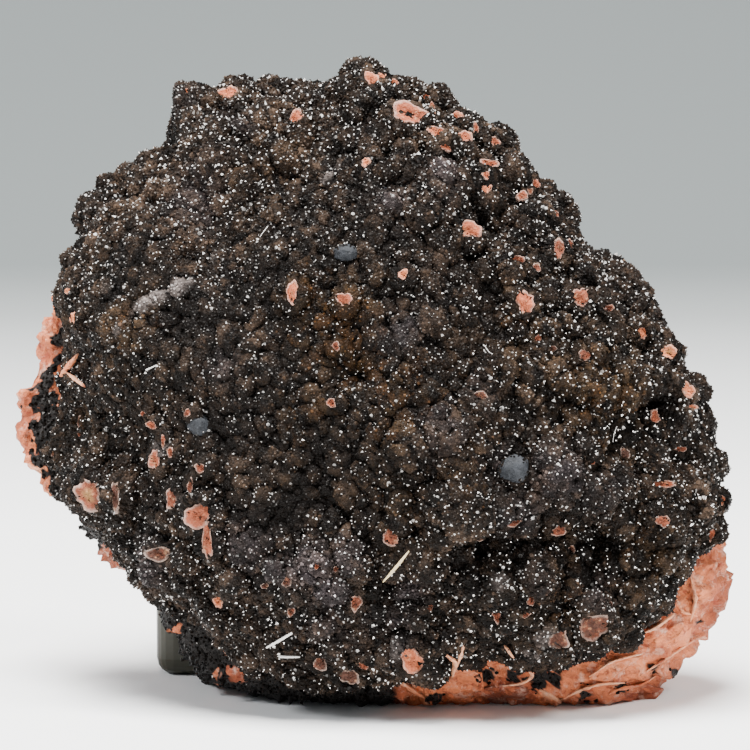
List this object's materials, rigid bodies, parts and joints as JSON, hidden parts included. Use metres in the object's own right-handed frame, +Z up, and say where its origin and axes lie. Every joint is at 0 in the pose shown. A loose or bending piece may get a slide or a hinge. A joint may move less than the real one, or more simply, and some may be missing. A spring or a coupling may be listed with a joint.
{
  "type": "quartz on barite specimen",
  "caption": "Domed mineral specimen: a dark knobbly crust of drusy quartz on salmon barite, with smooth grey nodules, leaning on a small grey block.",
  "frame": {"origin": "on the surface that the specimen stands on, under the middle of its box", "axes": "+Z up, +X to the right of the crusted face as seen from the front, the crusted face looks along -Y"},
  "size_m": [0.0714, 0.048, 0.0633],
  "materials": {
    "quartz": "sparkling dark druse",
    "barite": "rough, dull to waxy",
    "block": "smooth, satin",
    "nodule": "smooth, matte"
  },
  "bodies": {
    "root": {"quartz_crust": "quartz", "barite_matrix": "barite", "support_block": "block", "grey_nodule_left": "nodule", "grey_nodule_right": "nodule", "grey_nodule_middle": "nodule", "grey_nodule_upper": "nodule"}
  },
  "joints": []
}
